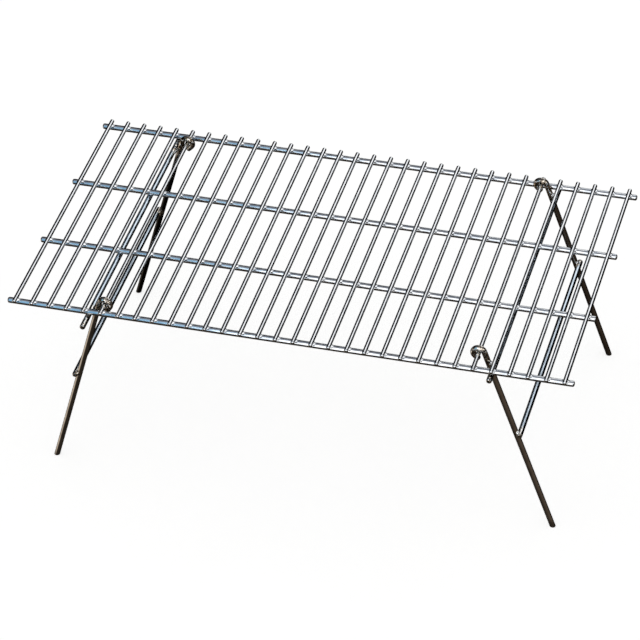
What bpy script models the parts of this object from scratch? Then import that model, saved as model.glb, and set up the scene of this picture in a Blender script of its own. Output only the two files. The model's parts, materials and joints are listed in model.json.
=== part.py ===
"""Folding campfire grill grate: a welded wire grate that stands on two hinged leg frames.

Metres, +Z up, +X along the long rods, +Y away from the viewer. The origin is on the ground under
the middle of the grate. Both leg frames are shown open, with their feet on the ground.
"""
from math import cos, radians, sin

import bmesh
import bpy
from mathutils import Vector

# Driving dimensions of the grate
LONG_ROD_LENGTH = 0.6096
LONG_ROD_SHIFT = -0.0007
LONG_ROD_DIAMETER = 0.0064
LONG_ROD_PITCH = 0.104
LONG_ROD_NAMES = ("front_long_rod", "front_inner_long_rod", "back_inner_long_rod", "back_long_rod")
CROSS_WIRE_LENGTH = 0.326
CROSS_WIRE_SHIFT = -0.002
CROSS_WIRE_DIAMETER = 0.0046
CROSS_WIRE_PITCH = 0.01905
CROSS_WIRE_COUNT = 32
PIVOT_WIRE_PLACE = 6
ROD_HEIGHT = 0.222

# Driving dimensions of a leg frame
LEG_DIAMETER = 0.0062
LEG_SPLAY = radians(17.2)
LEG_SPACING = 0.2855
LEG_SHIFT = 0.00105
EYE_RADIUS = 0.0060
EYE_SWEEP = radians(208.0)
EYE_TAIL = 0.0062
BAR_DIAMETER = 0.0061
STOP_BAR_LENGTH = 0.3335
STOP_BAR_SHIFT = -0.00335
BRACE_BAR_LENGTH = 0.2955
BRACE_BAR_DROP = 0.111
BRACE_BAR_SINK = 0.0024
FRAME_SLIDE = 0.0054

# Clearances and finish of the wire ends
TOUCH_GAP = 0.0003
END_CHAMFER = 0.0006
END_RADIUS_SHARE = 0.78
EYE_STEPS = 16
ROUND_RESOLUTION = 4
WELD_DISTANCE = 0.00001
CUT_MARGIN = 0.010
SEAT_LENGTH = 0.030

# Places that follow from the driving dimensions
WIRE_HEIGHT = ROD_HEIGHT + LONG_ROD_DIAMETER / 2 + TOUCH_GAP + CROSS_WIRE_DIAMETER / 2
BAR_OFFSET = LEG_DIAMETER / 2 + TOUCH_GAP + BAR_DIAMETER / 2
STOP_BAR_HEIGHT = ROD_HEIGHT - LONG_ROD_DIAMETER / 2 - TOUCH_GAP - BAR_DIAMETER / 2
LEG_OUTWARD = Vector((cos(LEG_SPLAY), 0.0, sin(LEG_SPLAY)))
LEG_DOWNWARD = Vector((sin(LEG_SPLAY), 0.0, -cos(LEG_SPLAY)))


def clear_scene():
    for old in list(bpy.data.objects):
        bpy.data.objects.remove(old, do_unlink=True)


def new_collection(name):
    collection = bpy.data.collections.new(name)
    bpy.context.scene.collection.children.link(collection)
    return collection


def plated_steel(name, colour, roughness):
    """Bright plated steel wire, which differs a little from one part to the next."""
    material = bpy.data.materials.new(name)
    material.use_nodes = True
    shader = material.node_tree.nodes["Principled BSDF"]
    shader.inputs["Base Color"].default_value = (*colour, 1.0)
    shader.inputs["Metallic"].default_value = 1.0
    shader.inputs["Roughness"].default_value = roughness
    material.diffuse_color = (*colour, 1.0)
    return material


def wire_run(name, points, diameter, material, collection):
    """A round wire through the points, as a curve whose two cut ends are slightly chamfered."""
    first_in = points[0].lerp(points[1], END_CHAMFER / (points[1] - points[0]).length)
    last_in = points[-1].lerp(points[-2], END_CHAMFER / (points[-2] - points[-1]).length)
    run = [points[0], first_in, *points[1:-1], last_in, points[-1]]

    curve = bpy.data.curves.new(name, "CURVE")
    curve.dimensions = "3D"
    curve.bevel_depth = diameter / 2
    curve.bevel_resolution = ROUND_RESOLUTION
    curve.use_fill_caps = True
    spline = curve.splines.new("POLY")
    spline.points.add(len(run) - 1)
    for spline_point, place in zip(spline.points, run):
        spline_point.co = (*place, 1.0)
    spline.points[0].radius = END_RADIUS_SHARE
    spline.points[-1].radius = END_RADIUS_SHARE
    curve.materials.append(material)

    wire = bpy.data.objects.new(name, curve)
    collection.objects.link(wire)
    return wire


def straight_wire(name, middle, direction, length, diameter, material, collection):
    """A straight wire with its origin at its middle."""
    reach = Vector(direction) * (length / 2)
    wire = wire_run(name, [-reach, reach], diameter, material, collection)
    wire.location = middle
    return wire


def as_mesh(wire, collection):
    """The curve as a closed mesh of the same name, in the same place and under the same parent."""
    bpy.context.view_layer.update()
    evaluated = wire.evaluated_get(bpy.context.evaluated_depsgraph_get())
    mesh = bpy.data.meshes.new_from_object(evaluated)
    shape = bmesh.new()
    shape.from_mesh(mesh)
    bmesh.ops.remove_doubles(shape, verts=shape.verts, dist=WELD_DISTANCE)
    bmesh.ops.recalc_face_normals(shape, faces=shape.faces)
    shape.to_mesh(mesh)
    shape.free()
    mesh.shade_smooth()
    mesh.set_sharp_from_angle(angle=radians(40.0))

    name = wire.name
    solid = bpy.data.objects.new(name, mesh)
    collection.objects.link(solid)
    solid.parent = wire.parent
    solid.matrix_world = wire.matrix_world.copy()
    bpy.data.objects.remove(wire, do_unlink=True)
    solid.name = name
    return solid


def cross_wire_x(place):
    """X of a cross wire, whose place is counted from 1 at the left end."""
    return (place - (CROSS_WIRE_COUNT + 1) / 2) * CROSS_WIRE_PITCH


def make_long_rods(collection, material):
    middle = (len(LONG_ROD_NAMES) - 1) / 2
    for row, name in enumerate(LONG_ROD_NAMES):
        place = Vector((LONG_ROD_SHIFT, (row - middle) * LONG_ROD_PITCH, ROD_HEIGHT))
        straight_wire(name, place, (1, 0, 0), LONG_ROD_LENGTH, LONG_ROD_DIAMETER, material, collection)


def make_cross_wires(collection, wire_material, pivot_material):
    """The cooking surface. One wire near each end is also the hinge pin of a leg frame."""
    pivots = {PIVOT_WIRE_PLACE: "left_pivot_wire", CROSS_WIRE_COUNT + 1 - PIVOT_WIRE_PLACE: "right_pivot_wire"}
    for place in range(1, CROSS_WIRE_COUNT + 1):
        name = pivots.get(place, f"cross_wire_{place:02d}")
        material = pivot_material if place in pivots else wire_material
        middle = Vector((cross_wire_x(place), CROSS_WIRE_SHIFT, WIRE_HEIGHT))
        straight_wire(name, middle, (0, 1, 0), CROSS_WIRE_LENGTH, CROSS_WIRE_DIAMETER, material, collection)


def leg_line(distance):
    """A point on the leg's centre line, measured from the pivot wire, at a distance down the leg."""
    return LEG_OUTWARD * EYE_RADIUS + LEG_DOWNWARD * distance


def leg_points():
    """The leg from its foot up, round the pivot wire from the outer side, and back under the wire."""
    foot = leg_line((WIRE_HEIGHT + CUT_MARGIN) / cos(LEG_SPLAY))
    points = [foot]
    for step in range(EYE_STEPS + 1):
        angle = LEG_SPLAY + EYE_SWEEP * step / EYE_STEPS
        points.append(Vector((cos(angle), 0.0, sin(angle))) * EYE_RADIUS)
    heading = LEG_SPLAY + EYE_SWEEP
    points.append(points[-1] + Vector((-sin(heading), 0.0, cos(heading))) * EYE_TAIL)
    return points


def mirrored(point, side):
    """The point on the given side: 1 is the right frame, -1 is the left one."""
    return Vector((point.x * side, point.y, point.z))


def floor_cutter(collection):
    """A block below the ground that cuts every foot flat."""
    bpy.ops.mesh.primitive_cube_add(size=1.0)
    block = bpy.context.active_object
    block.name = "floor_cutter"
    for old in list(block.users_collection):
        old.objects.unlink(block)
    collection.objects.link(block)
    depth = 4 * CUT_MARGIN
    block.dimensions = (LONG_ROD_LENGTH, CROSS_WIRE_LENGTH, depth)
    block.location = (0.0, 0.0, -depth / 2)
    block.hide_render = True
    block.display_type = "WIRE"
    return block


def leg_seat_cutter(name, place, side, collection, material):
    """A short rod in a leg's place, thicker by the gap, that cuts the leg's seat into the brace bar."""
    upward = -mirrored(LEG_DOWNWARD, side)
    return straight_wire(name, place, upward, SEAT_LENGTH, LEG_DIAMETER + 2 * TOUCH_GAP, material, collection)


def subtract(solid, name, cutter):
    cut = solid.modifiers.new(name, "BOOLEAN")
    cut.operation = "DIFFERENCE"
    cut.object = cutter


def make_leg_frame(side_name, side, collection, cutters, leg_material, bar_material, floor_block):
    """Two legs, a stop bar and a brace bar, hung on an empty at the pivot wire's centre."""
    pivot = bpy.data.objects.new(f"{side_name}_leg_frame_pivot", None)
    collection.objects.link(pivot)
    pivot.empty_display_size = 0.02
    pivot_x = side * cross_wire_x(CROSS_WIRE_COUNT + 1 - PIVOT_WIRE_PLACE)
    pivot.location = (pivot_x, side * FRAME_SLIDE, WIRE_HEIGHT)

    outline = [mirrored(point, side) for point in leg_points()]
    for end_name, end in (("front", -1), ("back", 1)):
        leg = wire_run(f"{side_name}_{end_name}_leg", outline, LEG_DIAMETER, leg_material, collection)
        leg.parent = pivot
        leg.location = (0.0, end * LEG_SPACING / 2 + LEG_SHIFT, 0.0)
        subtract(as_mesh(leg, collection), "flat foot", floor_block)

    stop_drop = (LEG_OUTWARD.z * (EYE_RADIUS + BAR_OFFSET) - (STOP_BAR_HEIGHT - WIRE_HEIGHT)) / cos(LEG_SPLAY)
    stop_place = mirrored(leg_line(stop_drop) + LEG_OUTWARD * BAR_OFFSET, side)
    stop_place.y = STOP_BAR_SHIFT
    stop_bar = straight_wire(
        f"{side_name}_stop_bar", stop_place, (0, 1, 0), STOP_BAR_LENGTH, BAR_DIAMETER, bar_material, collection
    )
    stop_bar.parent = pivot

    brace_place = mirrored(leg_line(BRACE_BAR_DROP) + LEG_OUTWARD * (BAR_OFFSET - BRACE_BAR_SINK), side)
    brace_place.y = LEG_SHIFT
    brace_bar = straight_wire(
        f"{side_name}_brace_bar", brace_place, (0, 1, 0), BRACE_BAR_LENGTH, BAR_DIAMETER, bar_material, collection
    )
    brace_bar.parent = pivot
    brace_bar = as_mesh(brace_bar, collection)
    for end_name, end in (("front", -1), ("back", 1)):
        place = mirrored(leg_line(BRACE_BAR_DROP), side)
        place.y = end * LEG_SPACING / 2 + LEG_SHIFT
        seat = leg_seat_cutter(f"{side_name}_{end_name}_leg_seat", place, side, cutters, leg_material)
        seat.parent = pivot
        seat = as_mesh(seat, cutters)
        seat.hide_render = True
        seat.display_type = "WIRE"
        subtract(brace_bar, f"{end_name} leg seat", seat)


def main():
    clear_scene()
    grate = new_collection("campfire_grill_grate")
    cutters = new_collection("cutters")

    wire_plate = plated_steel("bright chrome cross wire", (0.84, 0.85, 0.86), 0.12)
    pivot_plate = plated_steel("bright chrome pivot wire", (0.82, 0.83, 0.84), 0.16)
    rod_plate = plated_steel("bright chrome long rod", (0.80, 0.82, 0.85), 0.14)
    leg_plate = plated_steel("chrome leg rod", (0.62, 0.60, 0.57), 0.22)
    bar_plate = plated_steel("chrome frame bar", (0.74, 0.77, 0.81), 0.16)

    make_long_rods(grate, rod_plate)
    make_cross_wires(grate, wire_plate, pivot_plate)
    floor_block = floor_cutter(cutters)
    make_leg_frame("left", -1, grate, cutters, leg_plate, bar_plate, floor_block)
    make_leg_frame("right", 1, grate, cutters, leg_plate, bar_plate, floor_block)


main()
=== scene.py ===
# %% [markdown]
# A folding campfire grill grate
#
# The real object is a welded wire grate. Thirty-two thin cross wires are spot-welded on top of four thick
# long rods, and everything is plated after welding. Two leg frames hook round two of the cross wires with
# closed eyes, so each frame can fold up flat under the grate.
#
# The solids that we load are plain faceted wires. They say where everything is and how it moves. This
# lesson builds the round, welded and plated wires that the eye expects, each exactly where its solid is.

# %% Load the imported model
import json
from math import cos, pi, radians, sin

import bmesh
import bpy
from mathutils import Euler, Matrix, Vector


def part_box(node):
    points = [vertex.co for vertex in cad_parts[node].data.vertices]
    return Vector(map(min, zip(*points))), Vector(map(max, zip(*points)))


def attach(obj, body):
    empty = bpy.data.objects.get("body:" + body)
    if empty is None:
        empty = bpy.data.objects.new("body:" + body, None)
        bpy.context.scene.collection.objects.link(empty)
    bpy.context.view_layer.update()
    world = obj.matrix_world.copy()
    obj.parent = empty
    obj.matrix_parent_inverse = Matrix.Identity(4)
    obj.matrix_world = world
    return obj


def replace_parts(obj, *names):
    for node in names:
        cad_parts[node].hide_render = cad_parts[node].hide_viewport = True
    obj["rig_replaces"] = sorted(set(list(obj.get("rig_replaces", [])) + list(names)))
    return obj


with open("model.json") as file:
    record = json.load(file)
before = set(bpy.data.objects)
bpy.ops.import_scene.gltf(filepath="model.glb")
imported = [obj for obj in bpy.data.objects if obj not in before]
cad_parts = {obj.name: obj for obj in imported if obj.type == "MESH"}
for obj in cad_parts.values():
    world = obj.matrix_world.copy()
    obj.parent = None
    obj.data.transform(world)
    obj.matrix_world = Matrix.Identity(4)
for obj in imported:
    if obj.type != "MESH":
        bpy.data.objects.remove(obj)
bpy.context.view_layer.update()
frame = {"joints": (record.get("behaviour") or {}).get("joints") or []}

# %% [markdown]
# The camera
#
# The photograph was taken with a long lens from well above and a little to the right of the front, so the
# wires look almost parallel. A camera was fitted to the centre lines of all the wires and rods, which gave
# its place, its turn and its focal length. A long lens far away could also be faked with an orthographic
# camera, but then the back of the grate would not shrink a little, as it does in the photograph.

# %% Set up the camera
camera = bpy.data.objects.new("camera", bpy.data.cameras.new("camera"))
bpy.context.scene.collection.objects.link(camera)
camera.location = (0.8332, -2.5859, 2.4069)
camera.rotation_euler = (radians(49.892), radians(2.685), radians(15.854))
camera.data.sensor_width = 36.0
camera.data.lens = 183.88
camera.data.clip_end = 60.0
bpy.context.scene.camera = camera
print("camera distance:", round(camera.location.length, 3), "m")

# %% [markdown]
# Colours and nodes
#
# Colours are easiest to pick as sRGB hex values, because that is what a colour picker on a photograph
# shows. Blender mixes light in linear values, so one small function turns the first into the second. A
# second small function adds a node, sets its values and plugs in its links, which keeps each material short
# to read.


# %% Helpers for colours and nodes
def linear(hex_colour):
    """An sRGB hex colour such as "d0d4d8" as the linear colour that Blender's nodes use."""
    shares = [int(hex_colour[i:i + 2], 16) / 255 for i in (0, 2, 4)]
    return [s / 12.92 if s <= 0.04045 else ((s + 0.055) / 1.055) ** 2.4 for s in shares] + [1.0]


def add_node(tree, kind, values=None, links=None, **settings):
    """Adds a node: settings are its own options, values go into its sockets and links come from others."""
    node = tree.nodes.new(kind)
    for name, value in settings.items():
        setattr(node, name, value)
    for socket, value in (values or {}).items():
        node.inputs[socket].default_value = value
    for socket, source in (links or {}).items():
        tree.links.new(source, node.inputs[socket])
    return node


print("plain grey d0d4d8 is", [round(share, 3) for share in linear("d0d4d8")])

# %% [markdown]
# The floor
#
# The photograph is cut out on white, so the floor is a matt white board with just a little tooth in its
# surface. It is far wider than the view, because other views look across it. Two thirds of its white is a
# glow of its own, as on a light table, so that the shadows stay soft and pale and the gaps stay white.
#
# Polished metal mirrors whatever is around it. Over a white floor it would mirror white along both of its
# edges and vanish. In the photograph each wire has black edges, so the real surroundings were dark and the
# white came later. Ray visibility gives the same: the floor is there for the eye and for shadows, and the
# mirror-bright metal does not see it.

# %% Lay the floor
floor_radius = 9.0
bpy.ops.object.select_all(action="DESELECT")
bpy.ops.mesh.primitive_circle_add(
    vertices=96, radius=floor_radius, fill_type="NGON", location=(0.0, 0.0, 0.0)
)
floor = bpy.context.object
floor.name = "floor"
floor.visible_glossy = False
print("floor radius:", floor_radius, "m")

# %% Paint the board
board_glow = 0.69
board = bpy.data.materials.new("matt white board")
board.use_nodes = True
tree = board.node_tree
shader = tree.nodes["Principled BSDF"]
shader.inputs["Roughness"].default_value = 0.9
shader.inputs["Specular IOR Level"].default_value = 0.2
place = add_node(tree, "ShaderNodeTexCoord")
tooth = add_node(
    tree, "ShaderNodeTexNoise", {"Scale": 6.0, "Detail": 3.0}, {"Vector": place.outputs["Object"]}
)
tint = add_node(tree, "ShaderNodeValToRGB", links={"Fac": tooth.outputs["Fac"]})
tint.color_ramp.elements[0].color = linear("f1f1f0")
tint.color_ramp.elements[1].color = linear("f7f7f6")
tree.links.new(tint.outputs["Color"], shader.inputs["Base Color"])
shader.inputs["Emission Color"].default_value = linear("ffffff")
shader.inputs["Emission Strength"].default_value = board_glow
floor.data.materials.append(board)
print("glow of the board:", board_glow)

# %% [markdown]
# The soft boxes
#
# What the metal mirrors is a dim room, and five soft boxes that stand where the wires mirror them towards
# the camera. They shine on nothing but the metal:
#
# - one behind and above the grate draws the white line along every cross wire;
# - one in front and to the right whitens the right half of the long rods;
# - a pale blue one in front and to the left gives the left half of the long rods its sky colour;
# - one on the right puts the bright curls on the welds and the eyes;
# - one low behind the grate lights the tops of the eyes, and the wires when they are seen from low down.
#
# Small lamps would do for a matt object. A mirror shows the lamp itself, so each light here is as wide and
# as high as the streak that it has to draw. The power of a flat light is its radiance times its area times
# pi.

# %% Hang the soft boxes
grate_middle = Vector((0.0, 0.0, 0.222))
box_distance = 2.4


def soft_box(name, heading, across, width, height, colour, radiance):
    """An area light that faces the grate from a heading, with its width along a direction."""
    light = bpy.data.lights.new(name, "AREA")
    light.shape = "RECTANGLE"
    light.size = width
    light.size_y = height
    light.color = linear(colour)[:3]
    light.energy = radiance * pi * width * height
    box = bpy.data.objects.new(name, light)
    bpy.context.scene.collection.objects.link(box)
    back = Vector(heading).normalized()
    side = (Vector(across) - Vector(across).project(back)).normalized()
    turn = Matrix((side, back.cross(side), back)).transposed()
    box.matrix_world = Matrix.Translation(grate_middle + back * box_distance) @ turn.to_4x4()
    box.visible_camera = False
    box.visible_diffuse = False
    return box


# Each row is a name, a heading from the grate, the direction of the width, a width and a height in metres,
# a colour and a radiance.
box_rows = (
    ("back_soft_box", (0.21, 0.727, 0.65), (0.94, 0.0, -0.35), 1.7, 1.2, "ffffff", 1.25),
    ("front_soft_box", (0.10, -0.90, 0.43), (1.0, 0.0, 0.0), 2.0, 3.1, "ffffff", 1.8),
    ("blue_soft_box", (-0.53, -0.88, 0.50), (1.0, 0.0, 0.0), 1.0, 2.9, "78a8c6", 1.35),
    ("side_soft_box", (0.76, -0.30, 0.57), (0.0, 1.0, 0.0), 1.6, 1.6, "ffffff", 1.5),
    ("low_soft_box", (0.09, 0.98, 0.17), (1.0, 0.0, 0.0), 2.2, 0.8, "ffffff", 1.1),
)
boxes = [soft_box(*row) for row in box_rows]
print("soft boxes:", [box.name for box in boxes])

# %% [markdown]
# The sky
#
# The board gets its light from an even white sky, as in a light tent, which leaves hardly a shadow. The eye
# sees the sky as white as the board, so that no horizon shows in a low view. The sky is kept out of the
# reflections, as the board is. The Standard view keeps white white and shows each colour as it was picked.

# %% Light the sky
sky_strength = 0.36
sky = bpy.data.worlds.new("white sky")
bpy.context.scene.world = sky
sky.use_nodes = True
background = sky.node_tree.nodes["Background"]
background.inputs["Color"].default_value = (1.0, 1.0, 1.0, 1.0)
rays = add_node(sky.node_tree, "ShaderNodeLightPath")
strength = add_node(
    sky.node_tree,
    "ShaderNodeMapRange",
    {"To Min": sky_strength, "To Max": 1.0},
    {"Value": rays.outputs["Is Camera Ray"]},
)
sky.node_tree.links.new(strength.outputs["Result"], background.inputs["Strength"])
sky.cycles_visibility.glossy = False

bpy.context.scene.view_settings.view_transform = "Standard"
print("sky strength:", sky_strength)

# %% [markdown]
# The dim room
#
# The dim room is a big sphere round everything. Only reflections see it. Its front half is brown below and
# grey above, which the legs and the undersides of the rods mirror. Its back half is nearly black, which
# draws the dark lines along both sides of every cross wire. A warm glare on the far left lights the left
# edges of the legs.

# %% Build the dim room
room_radius = 12.0
bpy.ops.mesh.primitive_uv_sphere_add(
    segments=32, ring_count=16, radius=room_radius, location=grate_middle
)
room = bpy.context.object
room.name = "dim_room"
room.visible_camera = False
room.visible_diffuse = False
room.visible_shadow = False
room.visible_transmission = False
print("room radius:", room_radius, "m")

# %% Paint the room
# Each half's colours go from the bottom of the room at 0 to its top at 1.
front_half = (
    (0.0, "302b26"), (0.17, "39332d"), (0.3, "544a41"), (0.5, "4a443e"), (0.8, "3c3e44"), (1.0, "a0a2a8"),
)
back_half = (
    (0.0, "1c1916"), (0.36, "0a0908"), (0.5, "030303"), (0.62, "0c0d10"), (0.85, "24262c"),
    (0.93, "5a5c62"), (1.0, "a0a2a8"),
)
dim = bpy.data.materials.new("dim painted room")
dim.use_nodes = True
tree = dim.node_tree
tree.nodes.clear()
place = add_node(tree, "ShaderNodeTexCoord")
parts = add_node(tree, "ShaderNodeSeparateXYZ", links={"Vector": place.outputs["Object"]})
level = add_node(
    tree,
    "ShaderNodeMapRange",
    {"From Min": -room_radius, "From Max": room_radius},
    {"Value": parts.outputs["Z"]},
)
halves = []
for stops in (front_half, back_half):
    shade = add_node(tree, "ShaderNodeValToRGB", links={"Fac": level.outputs["Result"]})
    for element, (stop, colour) in zip(shade.color_ramp.elements, (stops[0], stops[-1])):
        element.position = stop
        element.color = linear(colour)
    for stop, colour in stops[1:-1]:
        shade.color_ramp.elements.new(stop).color = linear(colour)
    halves.append(shade)
print("colours in front:", len(front_half), "and behind:", len(back_half))

# %% Join the halves and add the glare
# The front half gives way to the back half between these two places behind the middle. The glare starts at
# its rim and is full at its core, both measured along its heading. All are in metres.
front_ends, back_starts = 1.0, 7.0
glare_heading = (-0.93, -0.21, -0.31)
glare_rim, glare_core = 9.9, 11.6
depth = add_node(
    tree,
    "ShaderNodeMapRange",
    {"From Min": front_ends, "From Max": back_starts},
    {"Value": parts.outputs["Y"]},
)
walls = add_node(
    tree,
    "ShaderNodeMix",
    links={0: depth.outputs["Result"], 6: halves[0].outputs["Color"], 7: halves[1].outputs["Color"]},
    data_type="RGBA",
)
leftward = add_node(
    tree,
    "ShaderNodeVectorMath",
    {1: glare_heading},
    {0: place.outputs["Object"]},
    operation="DOT_PRODUCT",
)
glare = add_node(
    tree,
    "ShaderNodeMapRange",
    {"From Min": glare_rim, "From Max": glare_core},
    {"Value": leftward.outputs["Value"]},
)
warm = add_node(
    tree,
    "ShaderNodeMix",
    {7: linear("efe2d2")},
    {0: glare.outputs["Result"], 6: walls.outputs[2]},
    data_type="RGBA",
)
glow = add_node(tree, "ShaderNodeEmission", links={"Color": warm.outputs[2]})
add_node(tree, "ShaderNodeOutputMaterial", links={"Surface": glow.outputs["Emission"]})
room.data.materials.append(dim)
print("width of the glare's rim:", round(glare_core - glare_rim, 1), "m")

# %% [markdown]
# Bright chrome plating
#
# The wires are drawn steel with a thin layer of bright nickel and chrome over it. Drawing leaves fine marks
# along the wire, which the plating softens, and the bath leaves faint cloudy patches. So the colour drifts
# a little between two near greys, the roughness follows the drawing marks, and a very low bump breaks up
# the reflections. The marks of a real wire are under a tenth of a millimetre apart. They are drawn about
# half a millimetre apart here, because finer ones would not show. The cloudy patches are about a centimetre
# wide.
#
# The pattern is stretched along the wire. Its Mapping node first turns the pattern, so that the pattern's Z
# runs the way the wire does.

# %% Mix the plating
marks_per_metre = 2000.0
marks_stretch = 0.03
clouds_per_metre = 90.0


def plated_wire(name, pale, deep, shine, haze, turn=(0.0, 0.0, 0.0)):
    """Bright plating on drawn wire. Roughness goes from shine to haze, and turn lays Z along the wire."""
    material = bpy.data.materials.new(name)
    material.use_nodes = True
    tree = material.node_tree
    shader = tree.nodes["Principled BSDF"]
    shader.inputs["Metallic"].default_value = 1.0

    place = add_node(tree, "ShaderNodeTexCoord")
    laid = add_node(
        tree,
        "ShaderNodeMapping",
        {"Rotation": turn},
        {"Vector": place.outputs["Object"]},
        vector_type="POINT",
    )
    stretched = add_node(
        tree,
        "ShaderNodeMapping",
        {"Scale": (1.0, 1.0, marks_stretch)},
        {"Vector": laid.outputs["Vector"]},
    )
    marks = add_node(
        tree,
        "ShaderNodeTexNoise",
        {"Scale": marks_per_metre, "Detail": 2.0},
        {"Vector": stretched.outputs["Vector"]},
    )
    clouds = add_node(
        tree,
        "ShaderNodeTexNoise",
        {"Scale": clouds_per_metre, "Detail": 2.0},
        {"Vector": place.outputs["Object"]},
    )
    tint = add_node(tree, "ShaderNodeValToRGB", links={"Fac": clouds.outputs["Fac"]})
    tint.color_ramp.elements[0].position = 0.35
    tint.color_ramp.elements[0].color = linear(deep)
    tint.color_ramp.elements[1].position = 0.65
    tint.color_ramp.elements[1].color = linear(pale)
    tree.links.new(tint.outputs["Color"], shader.inputs["Base Color"])
    gloss = add_node(
        tree,
        "ShaderNodeMapRange",
        {"From Min": 0.3, "From Max": 0.7, "To Min": shine, "To Max": haze},
        {"Value": marks.outputs["Fac"]},
    )
    tree.links.new(gloss.outputs["Result"], shader.inputs["Roughness"])
    relief = add_node(
        tree,
        "ShaderNodeBump",
        {"Strength": 0.12, "Distance": 0.00002},
        {"Height": marks.outputs["Fac"]},
    )
    tree.links.new(relief.outputs["Normal"], shader.inputs["Normal"])
    return material


print("drawing marks:", 1000 / marks_per_metre, "mm apart")

# %% [markdown]
# Four platings
#
# All wires come from one bath, but their platings look a little different. The long rods are bluer and more
# clouded, and that blue and its patches are partly a painted reflection of blue light. The two wires that
# carry the legs are rubbed by the eyes that turn on them, so they are duller. A weld's skin was molten once
# and has no drawing marks, so the pattern isn't turned along anything there.

# %% Plate the rods, the wires and the welds
along_x = (0.0, radians(90.0), 0.0)
along_y = (radians(90.0), 0.0, 0.0)
# The rods' bluer deep grey is partly a painted reflection of blue light.
rod_chrome = plated_wire("bright chrome plating on long rods", "e6e8ea", "bfc5cc", 0.06, 0.14, along_x)
wire_chrome = plated_wire("bright chrome plating on cross wires", "e8eaec", "d3d6d9", 0.06, 0.14, along_y)
pivot_chrome = plated_wire("rubbed chrome plating on pivot wires", "dfe1e3", "c8cacc", 0.10, 0.22, along_y)
weld_chrome = plated_wire("chrome plating over spot welds", "e6e8ea", "c9ccd0", 0.07, 0.15)
print("platings:", [m.name for m in (rod_chrome, wire_chrome, pivot_chrome, weld_chrome)])

# %% [markdown]
# Working as by hand
#
# Every operator works on whatever is selected, so each step starts with nothing selected. Points are picked
# by their place, to within a hundredth of a millimetre. A finished piece has its place in its mesh and its
# object at the origin, as the solids have.

# %% Helpers for modelling
near = 0.00001


def leave_all():
    """Back to object mode with nothing selected."""
    if bpy.context.object and bpy.context.object.mode != "OBJECT":
        bpy.ops.object.mode_set(mode="OBJECT")
    bpy.ops.object.select_all(action="DESELECT")


def take(piece):
    """Makes a piece the only one selected, and the active one."""
    leave_all()
    piece.select_set(True)
    bpy.context.view_layer.objects.active = piece


def settle(piece):
    """Moves a piece's place, turn and size into its mesh."""
    take(piece)
    bpy.ops.object.transform_apply(location=True, rotation=True, scale=True)


def pick(piece, wanted):
    """Goes into edit mode and selects the points whose place passes the test."""
    take(piece)
    bpy.ops.object.mode_set(mode="EDIT")
    bpy.ops.mesh.select_mode(type="VERT")
    bpy.ops.mesh.select_all(action="DESELECT")
    shape = bmesh.from_edit_mesh(piece.data)
    for point in shape.verts:
        point.select = wanted(point.co)
    shape.select_flush_mode()
    bmesh.update_edit_mesh(piece.data)


def twin(piece, name, shift):
    """A copy with its own mesh, moved by a shift."""
    take(piece)
    bpy.ops.object.duplicate(linked=False)
    copy = bpy.context.object
    copy.name = name
    copy.data.name = name
    copy.location = shift
    settle(copy)
    return copy


def weld_on(piece, welds):
    """Joins welds to a piece, so that they are one mesh."""
    leave_all()
    for weld in welds:
        weld.select_set(True)
    piece.select_set(True)
    bpy.context.view_layer.objects.active = piece
    bpy.ops.object.join()


print("helpers:", [helper.__name__ for helper in (leave_all, take, settle, pick, twin, weld_on)])

# %% [markdown]
# Straight wires
#
# A rod is cut from a long coil with shears, and tumbling and plating round its cut ends over. So a straight
# wire starts as a cylinder that fills its solid's box, and the rims of both ends are bevelled to a dome
# with a small flat left in the middle.
#
# Smooth shading blends the normals of neighbouring faces. Next to a dome that would tilt the normals of the
# whole long wire a little, and a mirror shows the smallest tilt. A ring of points cut in just before each
# dome keeps the long faces straight.

# %% A straight wire that fills a solid's box
ring_gap = 0.001
crease = radians(35.0)


def straight_wire(name, node, material, rounding):
    """A wire in the place of the solid called node. Rounding is the share of its radius that is a dome."""
    low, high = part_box(node)
    size = high - low
    axis = max(range(3), key=lambda i: size[i])
    turn = ((0.0, pi / 2, 0.0), (pi / 2, 0.0, 0.0), (0.0, 0.0, 0.0))[axis]
    radius = min(size) / 2
    leave_all()
    bpy.ops.mesh.primitive_cylinder_add(
        vertices=24, radius=radius, depth=size[axis], location=(low + high) / 2, rotation=turn
    )
    wire = bpy.context.object
    wire.name = name
    settle(wire)
    for tip, inward in ((low[axis], 1.0), (high[axis], -1.0)):
        pick(wire, lambda co: abs(co[axis] - tip) < near)
        bpy.ops.mesh.bevel(offset=rounding * radius, segments=5, profile=0.5, affect="EDGES")
        ring = (low + high) / 2
        ring[axis] = tip + inward * (rounding * radius + ring_gap)
        straight = Vector((0.0, 0.0, 0.0))
        straight[axis] = 1.0
        pick(wire, lambda co: True)
        bpy.ops.mesh.bisect(plane_co=ring, plane_no=straight)
    take(wire)
    bpy.ops.object.shade_smooth_by_angle(angle=crease)
    wire.data.materials.append(material)
    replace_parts(wire, node)
    return wire


print("the ring is cut in", ring_gap * 1000, "mm before the dome")

# %% [markdown]
# The long rods
#
# The four rods carry everything. Each fills its solid's box, and their radius, height and places are read
# from the solids, because the welds and the cross wires are set on them.

# %% Draw the four long rods
wire_rounding = 0.6
rod_nodes = ["front_long_rod", "front_inner_long_rod", "back_inner_long_rod", "back_long_rod"]
for node in rod_nodes:
    rod = straight_wire(node.replace("long_rod", "round_rod"), node, rod_chrome, wire_rounding)
    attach(rod, "grate")
rod_low, rod_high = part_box(rod_nodes[0])
rod_radius = (rod_high.z - rod_low.z) / 2
rod_top = (rod_high.z + rod_low.z) / 2 + rod_radius
rod_rows = [(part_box(node)[0].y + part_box(node)[1].y) / 2 for node in rod_nodes]
print("rod radius:", round(rod_radius * 1000, 2), "mm, rows:", [round(row, 3) for row in rod_rows])

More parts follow.
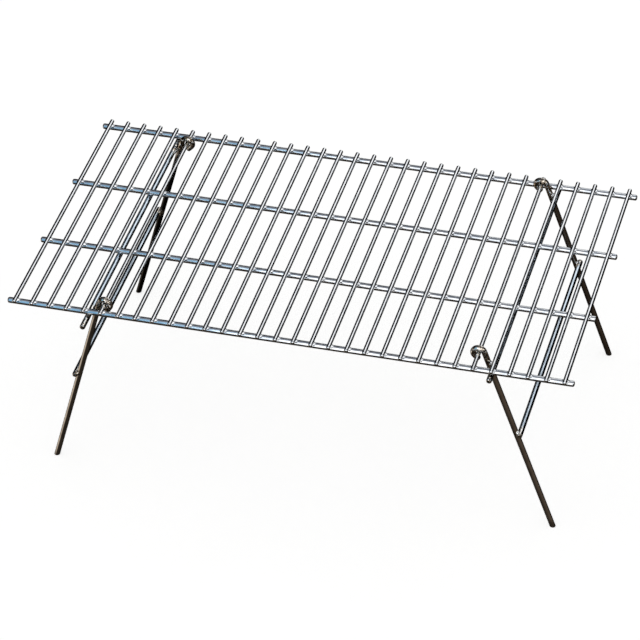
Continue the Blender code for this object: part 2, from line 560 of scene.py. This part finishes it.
# %% [markdown]
# A spot weld
#
# Where a cross wire was pressed and welded onto a rod, the softened steel was squeezed out round the touch.
# It left a small hollow slope, a fillet, that runs up from the rod to the wire. In the photograph the white
# line on the rod curls up this slope just right of every wire.
#
# The fillet starts as a low oval drum. Its top is extruded and drawn in three times, a little less outwards
# and a little more upwards each time, which gives the hollow slope. Then its points are lowered as the
# round rod falls away under them. It has few faces, because 136 of them are needed.

# %% A weld fillet on a round rod
drum_depth = 0.001


def weld_fillet(name, rings, under, material):
    """A fillet on top of a rod of radius under. Each ring is a half size along x and y, and a height."""
    leave_all()
    bpy.ops.mesh.primitive_cylinder_add(
        vertices=12, radius=1.0, depth=drum_depth, location=(0.0, 0.0, -drum_depth / 2)
    )
    fillet = bpy.context.object
    fillet.name = name
    (x, y, height), *others = rings
    fillet.scale = (x, y, 1.0)
    fillet.location.z += height
    settle(fillet)
    for next_x, next_y, next_height in others:
        pick(fillet, lambda co: abs(co.z - height) < near)
        bpy.ops.mesh.extrude_region_move(
            TRANSFORM_OT_translate={"value": (0.0, 0.0, next_height - height)}
        )
        bpy.ops.transform.resize(
            value=(next_x / x, next_y / y, 1.0), center_override=(0.0, 0.0, next_height)
        )
        x, y, height = next_x, next_y, next_height
    leave_all()
    for row in sorted({round(abs(point.co.y), 6) for point in fillet.data.vertices}):
        pick(fillet, lambda co: abs(abs(co.y) - row) < near)
        fall = (under ** 2 - row ** 2) ** 0.5 - under
        bpy.ops.transform.translate(value=(0.0, 0.0, fall))
    take(fillet)
    bpy.ops.object.shade_smooth_by_angle(angle=radians(70.0))
    fillet.data.materials.append(material)
    return fillet


print("the drum goes", drum_depth * 1000, "mm into the rod")

# %% Model one spot weld
weld_rings = (
    (0.0044, 0.0025, -0.0001),
    (0.0035, 0.0023, 0.00015),
    (0.0028, 0.0021, 0.0006),
    (0.0021, 0.0019, 0.0015),
)
fillet = weld_fillet("spot_weld", weld_rings, rod_radius, weld_chrome)
print("faces in one weld:", len(fillet.data.polygons))

# %% [markdown]
# The cross wires
#
# One cross wire is drawn and its four welds are joined to it. The welded wire is then copied to every
# place, each copy with a mesh of its own, as the wires of the real grate come off one machine. Two of the
# places are those of the wires that carry the legs.

# %% Draw the first cross wire and weld it
wire_nodes = [f"cross_wire_{place:02d}" for place in range(1, 33)]
wire_nodes[5] = "left_pivot_wire"
wire_nodes[26] = "right_pivot_wire"
first_wire = straight_wire("round_cross_wire_01", wire_nodes[0], wire_chrome, wire_rounding)
wire_low, wire_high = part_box(wire_nodes[0])
wire_radius = (wire_high.x - wire_low.x) / 2
wire_x = (wire_high.x + wire_low.x) / 2
weld_on(first_wire, [twin(fillet, f"weld_{i}", (wire_x, row, rod_top)) for i, row in enumerate(rod_rows)])
print("wire radius:", round(wire_radius * 1000, 2), "mm, top of the rods:", round(rod_top * 1000, 2), "mm")

# %% Copy it to the other places
# A copy also takes over the list of solids that the first wire stands for, so that list is emptied.
wires = {wire_nodes[0]: first_wire}
for node in wire_nodes[1:]:
    low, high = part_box(node)
    shift = (low.x + high.x) / 2 - wire_x
    wires[node] = twin(first_wire, "round_" + node, (shift, 0.0, 0.0))
    wires[node]["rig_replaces"] = []
for node, wire in wires.items():
    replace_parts(wire, node)
    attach(wire, "grate")
    if "pivot" in node:
        wire.data.materials[0] = pivot_chrome
print("cross wires:", len(wires))

# %% [markdown]
# The legs
#
# A leg is one rod. A bending machine wrapped its top round a pin into an eye, and the tail of the eye was
# left sticking out straight. Spin does the same as the machine: it carries a ring of points round the pin.
# A curve with a round section could draw the whole leg too, but its bends are only nearly round, while a
# spun bend is exactly round.

# %% Measure the leg's solid
leg_splay = radians(17.2)
right_pivot = Vector(next(joint["pos_m"] for joint in frame["joints"] if joint["name"] == "right_leg_fold"))
leg_low, leg_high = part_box("right_front_leg")
leg_row = (leg_low.y + leg_high.y) / 2
leg_radius = (leg_high.y - leg_low.y) / 2
eye_radius = leg_high.z - right_pivot.z - leg_radius
pin = Vector((right_pivot.x, leg_row, right_pivot.z))
outward = Vector((cos(leg_splay), 0.0, sin(leg_splay)))
downward = Vector((sin(leg_splay), 0.0, -cos(leg_splay)))
start = pin + outward * eye_radius
print("leg radius:", round(leg_radius * 1000, 2), "mm, eye radius:", round(eye_radius * 1000, 2), "mm")

# %% Bend the eye
eye_sweep = radians(208.0)
leave_all()
bpy.ops.mesh.primitive_circle_add(
    vertices=24, radius=leg_radius, fill_type="NOTHING", location=start, rotation=(0.0, pi - leg_splay, 0.0)
)
leg = bpy.context.object
leg.name = "bent_right_front_leg"
settle(leg)
pick(leg, lambda co: True)
bpy.ops.mesh.spin(steps=26, angle=eye_sweep, center=pin, axis=(0.0, 1.0, 0.0))
spun = [point.co.copy() for point in bmesh.from_edit_mesh(leg.data).verts if point.select]
tail_start = sum(spun, Vector()) / len(spun)
print("end of the eye from the pin:", [round(1000 * c, 2) for c in tail_start - pin], "mm")

# %% [markdown]
# The tail, the straight leg and the foot
#
# The ring at the end of the eye is still selected, so the tail is pulled straight out of it and its tip is
# rounded. The straight leg is pulled down from the first ring, further than it needs to go, and its foot is
# cut level with the ground, so that it stands flat. The sharp rim of the cut is taken off. Two rings cut in
# near the ends of the straight part keep its long faces straight, as on the wires.

# %% Pull out the tail and the straight leg
eye_tail = 0.0062
leg_pull = 0.26
tail_heading = leg_splay + eye_sweep
tail_way = Vector((-sin(tail_heading), 0.0, cos(tail_heading)))
bpy.ops.mesh.extrude_region_move(TRANSFORM_OT_translate={"value": tail_way * eye_tail})
bpy.ops.mesh.edge_face_add()
bpy.ops.mesh.bevel(offset=0.5 * leg_radius, segments=4, profile=0.5, affect="EDGES")
pick(leg, lambda co: abs((co - start).dot(downward)) < near and (co - pin).dot(outward) > 0.0)
bpy.ops.mesh.extrude_region_move(TRANSFORM_OT_translate={"value": downward * leg_pull})
print("length of the tail:", round(eye_tail * 1000, 1), "mm")

# %% Cut the foot and cut in the two rings
foot_bevel = 0.0004
ring_depths = (0.004, 0.228)
pick(leg, lambda co: True)
bpy.ops.mesh.bisect(
    plane_co=(0.0, 0.0, 0.0), plane_no=(0.0, 0.0, -1.0), use_fill=True, clear_outer=True
)
pick(leg, lambda co: co.z < near)
bpy.ops.mesh.bevel(offset=foot_bevel, segments=2, profile=0.5, affect="EDGES")
for depth in ring_depths:
    pick(leg, lambda co: (co - start).dot(downward) > -near and (co - pin).dot(outward) > 0.0)
    bpy.ops.mesh.bisect(plane_co=start + downward * depth, plane_no=downward)
pick(leg, lambda co: True)
bpy.ops.mesh.remove_doubles(threshold=0.000001)
bpy.ops.mesh.normals_make_consistent(inside=False)
take(leg)
bpy.ops.object.shade_smooth_by_angle(angle=crease)
print("leg box:", [[round(1000 * c, 2) for c in corner] for corner in (leg.bound_box[0], leg.bound_box[6])])
print("solid box:", [[round(1000 * c, 2) for c in corner] for corner in (leg_low, leg_high)])

# %% [markdown]
# Heat tint and painted reflections
#
# Chrome turns straw and brown and blisters where it gets hot, as it does in the eyes over the fire and
# beside the welds. So those places get blotches about two millimetres wide, from black over a thin line of
# gold to white metal, and a low relief under them. The blotches are partly painted light: the black ones
# paint dark reflections and shade, the near-white ones paint highlights, and the gold paints a warm glint.
# The tint could be a material of its own, but then it would end in a hard line. Mixed into the plating
# along an object axis, it fades out as the heat did.

# %% Tint the plating where it got hot, and paint reflections and highlights there
blotches_per_metre = 420.0
blister_height = 0.00025
# The soot, rust and clean colours are partly painted. The two dark ones paint dark reflections and shade,
# and the near-white one paints highlights.
soot_and_painted_shade, rust_and_painted_shade, gold, pale_gold, clean_and_painted_highlight = "14110e", "1e1812", "b08038", "efe4cc", "f6f5f2"
burnt_and_reflection_stops = ((0.40, soot_and_painted_shade), (0.47, rust_and_painted_shade), (0.49, gold), (0.52, pale_gold), (0.56, clean_and_painted_highlight))


def heat_tint_and_painted_reflections(material, axis, low, high, shares):
    """Mixes heat tint, with painted dark reflections and highlights, into a plating. Shares are (place,
    share) pairs along an axis, from low to high.
    """
    tree = material.node_tree
    shader = tree.nodes["Principled BSDF"]
    plain = shader.inputs["Base Color"].links[0].from_socket
    smooth = shader.inputs["Normal"].links[0].from_socket
    place = add_node(tree, "ShaderNodeTexCoord")
    parts = add_node(tree, "ShaderNodeSeparateXYZ", links={"Vector": place.outputs["Object"]})
    level = add_node(
        tree, "ShaderNodeMapRange", {"From Min": low, "From Max": high}, {"Value": parts.outputs[axis]}
    )
    # The share of tint, and of the painted reflections in it, along the axis.
    heat = add_node(tree, "ShaderNodeValToRGB", links={"Fac": level.outputs["Result"]})
    for element, (_, share) in zip(heat.color_ramp.elements, (shares[0], shares[-1])):
        element.color = (share, share, share, 1.0)
    for stop, share in shares[1:-1]:
        heat.color_ramp.elements.new((stop - low) / (high - low)).color = (share, share, share, 1.0)
    blotches = add_node(
        tree,
        "ShaderNodeTexNoise",
        {"Scale": blotches_per_metre, "Detail": 3.0},
        {"Vector": place.outputs["Object"]},
    )
    spread = add_node(
        tree,
        "ShaderNodeMapRange",
        {"From Min": 0.30, "From Max": 0.40},
        {"Value": blotches.outputs["Fac"]},
    )
    amount = add_node(
        tree,
        "ShaderNodeMath",
        links={0: heat.outputs["Color"], 1: spread.outputs["Result"]},
        operation="MULTIPLY",
    )
    # This ramp from black to near white paints dark reflections and highlights as well as heat tint.
    burnt_and_reflections = add_node(tree, "ShaderNodeValToRGB", links={"Fac": blotches.outputs["Fac"]})
    for element, (stop, colour) in zip(burnt_and_reflections.color_ramp.elements, (burnt_and_reflection_stops[0], burnt_and_reflection_stops[-1])):
        element.position = stop
        element.color = linear(colour)
    for stop, colour in burnt_and_reflection_stops[1:-1]:
        burnt_and_reflections.color_ramp.elements.new(stop).color = linear(colour)
    tinted = add_node(
        tree,
        "ShaderNodeMix",
        links={0: amount.outputs["Value"], 6: plain, 7: burnt_and_reflections.outputs["Color"]},
        data_type="RGBA",
    )
    tree.links.new(tinted.outputs[2], shader.inputs["Base Color"])
    blisters = add_node(
        tree,
        "ShaderNodeBump",
        {"Distance": blister_height},
        {"Strength": amount.outputs["Value"], "Height": blotches.outputs["Fac"], "Normal": smooth},
    )
    tree.links.new(blisters.outputs["Normal"], shader.inputs["Normal"])


print("heat blotches:", round(1000 / blotches_per_metre, 1), "mm wide")

# %% [markdown]
# Legs with painted shade
#
# In the photograph the legs look dark brown with a warm pale rim, because they face the ground and mirror
# it, and the two back legs are darker still. The plating is the same chrome. Here its greys are painted a
# little darker on the front left leg and darker still on the back legs, the left back one most: that is
# painted shade. Its drawing marks lean as the leg does. The heat shares go by the height above the ground:
# a narrow band beside the brace bar's weld, whose gold also paints a warm glint, and the whole eye.

# %% Plate the legs
# Each pair of greys is the same chrome, made darker on the front left leg and more on the back legs:
# painted shade.
leg_painted_shades = {
    "right_front_leg": ("e2ddd6", "c6c0b8"),
    "left_front_leg": ("d2ccc4", "b4aea6"),
    "right_back_leg": ("9c968e", "827c75"),
    "left_back_leg": ("2f2c29", "211f1d"),
}
# The band beside the brace bar's weld also paints a warm gold glint. The eye shares paint the dark
# reflections and highlights of the eyes.
brace_heat_and_glint = ((0.10, 0.0), (0.119, 0.0), (0.125, 0.8), (0.131, 0.0))
eye_heat_and_reflections = ((0.206, 0.0), (0.215, 0.9), (0.226, 0.9), (0.24, 0.5))
leg_chromes = {}
for node, (pale, deep) in leg_painted_shades.items():
    lean = leg_splay if node.startswith("left") else -leg_splay
    title = "heat-tinted chrome plating on " + node.replace("_", " ")
    leg_chromes[node] = plated_wire(title, pale, deep, 0.05, 0.13, (0.0, lean, 0.0))
    heat_tint_and_painted_reflections(leg_chromes[node], "Z", brace_heat_and_glint[0][0], eye_heat_and_reflections[-1][0], brace_heat_and_glint + eye_heat_and_reflections)
leg.data.materials.append(leg_chromes["right_front_leg"])
print("leg platings:", [material.name for material in leg_chromes.values()])

# %% [markdown]
# Four legs from one
#
# All four legs were bent alike, so three are copies, and the two on the left are mirrored. A mirror turns
# the faces inside out, so their normals are worked out again.


# %% Copy and mirror the other legs
def mirror_across_middle(piece):
    """Turns a right-hand piece into a left-hand one."""
    take(piece)
    piece.scale = (-1.0, 1.0, 1.0)
    settle(piece)
    pick(piece, lambda co: True)
    bpy.ops.mesh.normals_make_consistent(inside=False)
    leave_all()


legs = {"right_front_leg": leg}
for node in ("right_back_leg", "left_front_leg", "left_back_leg"):
    low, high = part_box(node)
    legs[node] = twin(leg, "bent_" + node, (0.0, (low.y + high.y) / 2 - leg_row, 0.0))
    legs[node].data.materials[0] = leg_chromes[node]
    if node.startswith("left"):
        mirror_across_middle(legs[node])
for node, piece in legs.items():
    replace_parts(piece, node)
    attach(piece, node.split("_")[0] + "_leg_frame")
print("legs:", sorted(legs))

# %% [markdown]
# The bars of the leg frames
#
# Each frame has two straight bars welded across the outer side of its legs. The upper one bears up against
# the long rods and stops the frame when it is open. The lower one braces the legs, and is pressed a little
# into them. The welds sit on the surface of the leg and are a little bigger than those of the grate,
# because both rods are thick. The heat of welding tinted the bars from their ends to just past the legs,
# and the dark blotches of that tint also paint shade on the bar ends. The pale blue of their plating is a
# painted reflection of blue light.

# %% Draw the bars and their welds
bar_rounding = 0.5
bar_weld_size = 1.2
full_heat, heat_reach = 0.004, 0.010
for side, sign in (("left", -1.0), ("right", 1.0)):
    out = Vector((sign * outward.x, 0.0, outward.z))
    eye_side = Vector((sign * right_pivot.x, 0.0, right_pivot.z)) + out * eye_radius
    leg_rows = [sum(corner.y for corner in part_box(f"{side}_{end}_leg")) / 2 for end in ("front", "back")]
    front, back = leg_rows
    for node in (f"{side}_stop_bar", f"{side}_brace_bar"):
        title = "heat-tinted chrome plating on " + node.replace("_", " ")
        # The pale blue of the bars' plating is a painted reflection of blue light.
        bar_chrome = plated_wire(title, "d2dfea", "bac8d5", 0.07, 0.15, along_y)
        low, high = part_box(node)
        # The tint at the bar ends is heat tint and partly painted shade.
        front_heat_and_shade = ((low.y, 0.9), (front + full_heat, 0.9), (front + heat_reach, 0.0))
        back_heat_and_shade = ((back - heat_reach, 0.0), (back - full_heat, 0.9), (high.y, 0.9))
        heat_tint_and_painted_reflections(bar_chrome, "Y", low.y, high.y, front_heat_and_shade + back_heat_and_shade)
        bar = straight_wire("round_" + node, node, bar_chrome, bar_rounding)
        middle = (low + high) / 2
        depth = (middle - eye_side).dot(out) - leg_radius
        welds = []
        for number, row in enumerate(leg_rows):
            weld = twin(fillet, f"{node}_weld_{number}", (0.0, 0.0, 0.0))
            weld.scale = (bar_weld_size, bar_weld_size, bar_weld_size)
            weld.rotation_euler = Euler((0.0, sign * (pi / 2 - leg_splay), 0.0))
            weld.location = Vector((middle.x, row, middle.z)) - out * depth
            settle(weld)
            welds.append(weld)
        weld_on(bar, welds)
        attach(bar, f"{side}_leg_frame")
        print(node, "is welded", round(depth * 1000, 2), "mm from its middle")

# %% [markdown]
# The last step
#
# The first weld was only the model for its copies, so it goes. The dressed model must not be bigger than
# the solids.

# %% Remove the model weld
bpy.data.objects.remove(fillet, do_unlink=True)
